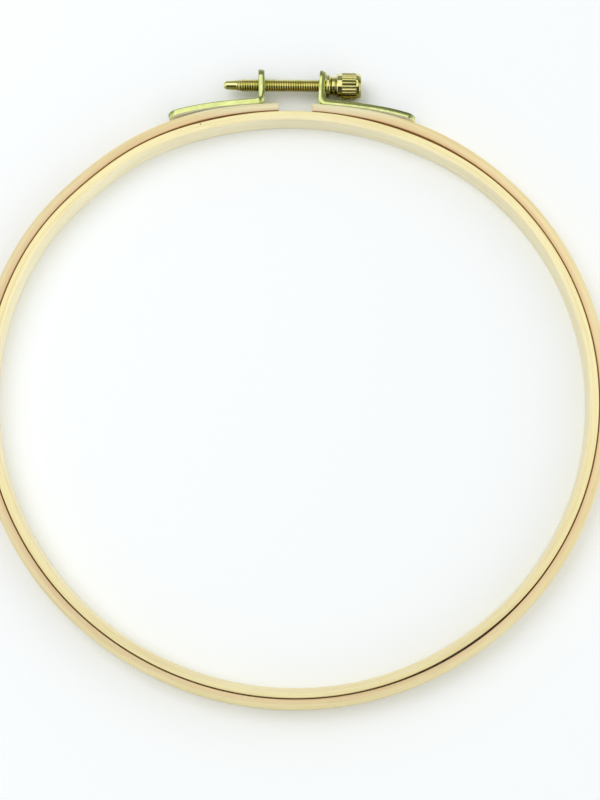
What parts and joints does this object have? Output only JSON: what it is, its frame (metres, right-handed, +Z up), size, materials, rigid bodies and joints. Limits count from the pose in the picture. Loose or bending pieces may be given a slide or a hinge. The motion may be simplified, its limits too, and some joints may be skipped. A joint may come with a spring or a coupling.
{
  "type": "embroidery hoop",
  "caption": "Wooden embroidery hoop: a closed inner ring and a split outer ring that a thumb screw draws together through two bent metal brackets.",
  "frame": {"origin": "on the table, under the middle of the whole hoop's outline", "axes": "+Z up through the hoop as it lies on a table, +Y from the middle of the hoop to its clamp, +X to the head side of the thumb screw"},
  "size_m": [0.2002, 0.2086, 0.0089],
  "materials": {
    "pale_wood": "sanded bare beech, pale yellow",
    "tan_wood": "sanded bare beech, a little more tan",
    "plated_strip": "bright plated steel strip, yellow with a green tint",
    "plated_rivet": "bright plated steel, yellow",
    "screw_brass": "bright turned brass"
  },
  "bodies": {
    "outer_hoop": {"outer_ring": "tan_wood", "plain_bracket": "plated_strip", "plain_rivet_1": "plated_rivet", "plain_rivet_2": "plated_rivet"},
    "threaded_side": {"threaded_bracket": "plated_strip", "threaded_rivet_1": "plated_rivet", "threaded_rivet_2": "plated_rivet"},
    "screw": {"thumb_screw": "screw_brass"},
    "inner_hoop": {"inner_ring": "pale_wood"}
  },
  "joints": [
    {"name": "screw_turn", "type": "hinge", "parent": "outer_hoop", "child": "screw", "pos_m": [0, 0.09886, 0.0045], "axis": [1, 0, 0], "range_deg": [0, 2520]},
    {"name": "ring_open", "type": "hinge", "parent": "outer_hoop", "child": "threaded_side", "pos_m": [-0.0139, -0.10166, 0.0045], "axis": [0, 0, 1], "range_deg": [0, 1.65], "deforming": ["outer_ring"]},
    {"name": "inner_lift", "type": "slide", "parent": "outer_hoop", "child": "inner_hoop", "axis": [0, 0, 1], "range_m": [0, 0.015]}
  ],
  "couplings": [
    {"joint": "ring_open", "follows": "screw_turn", "ratio": 0.0006302}
  ]
}
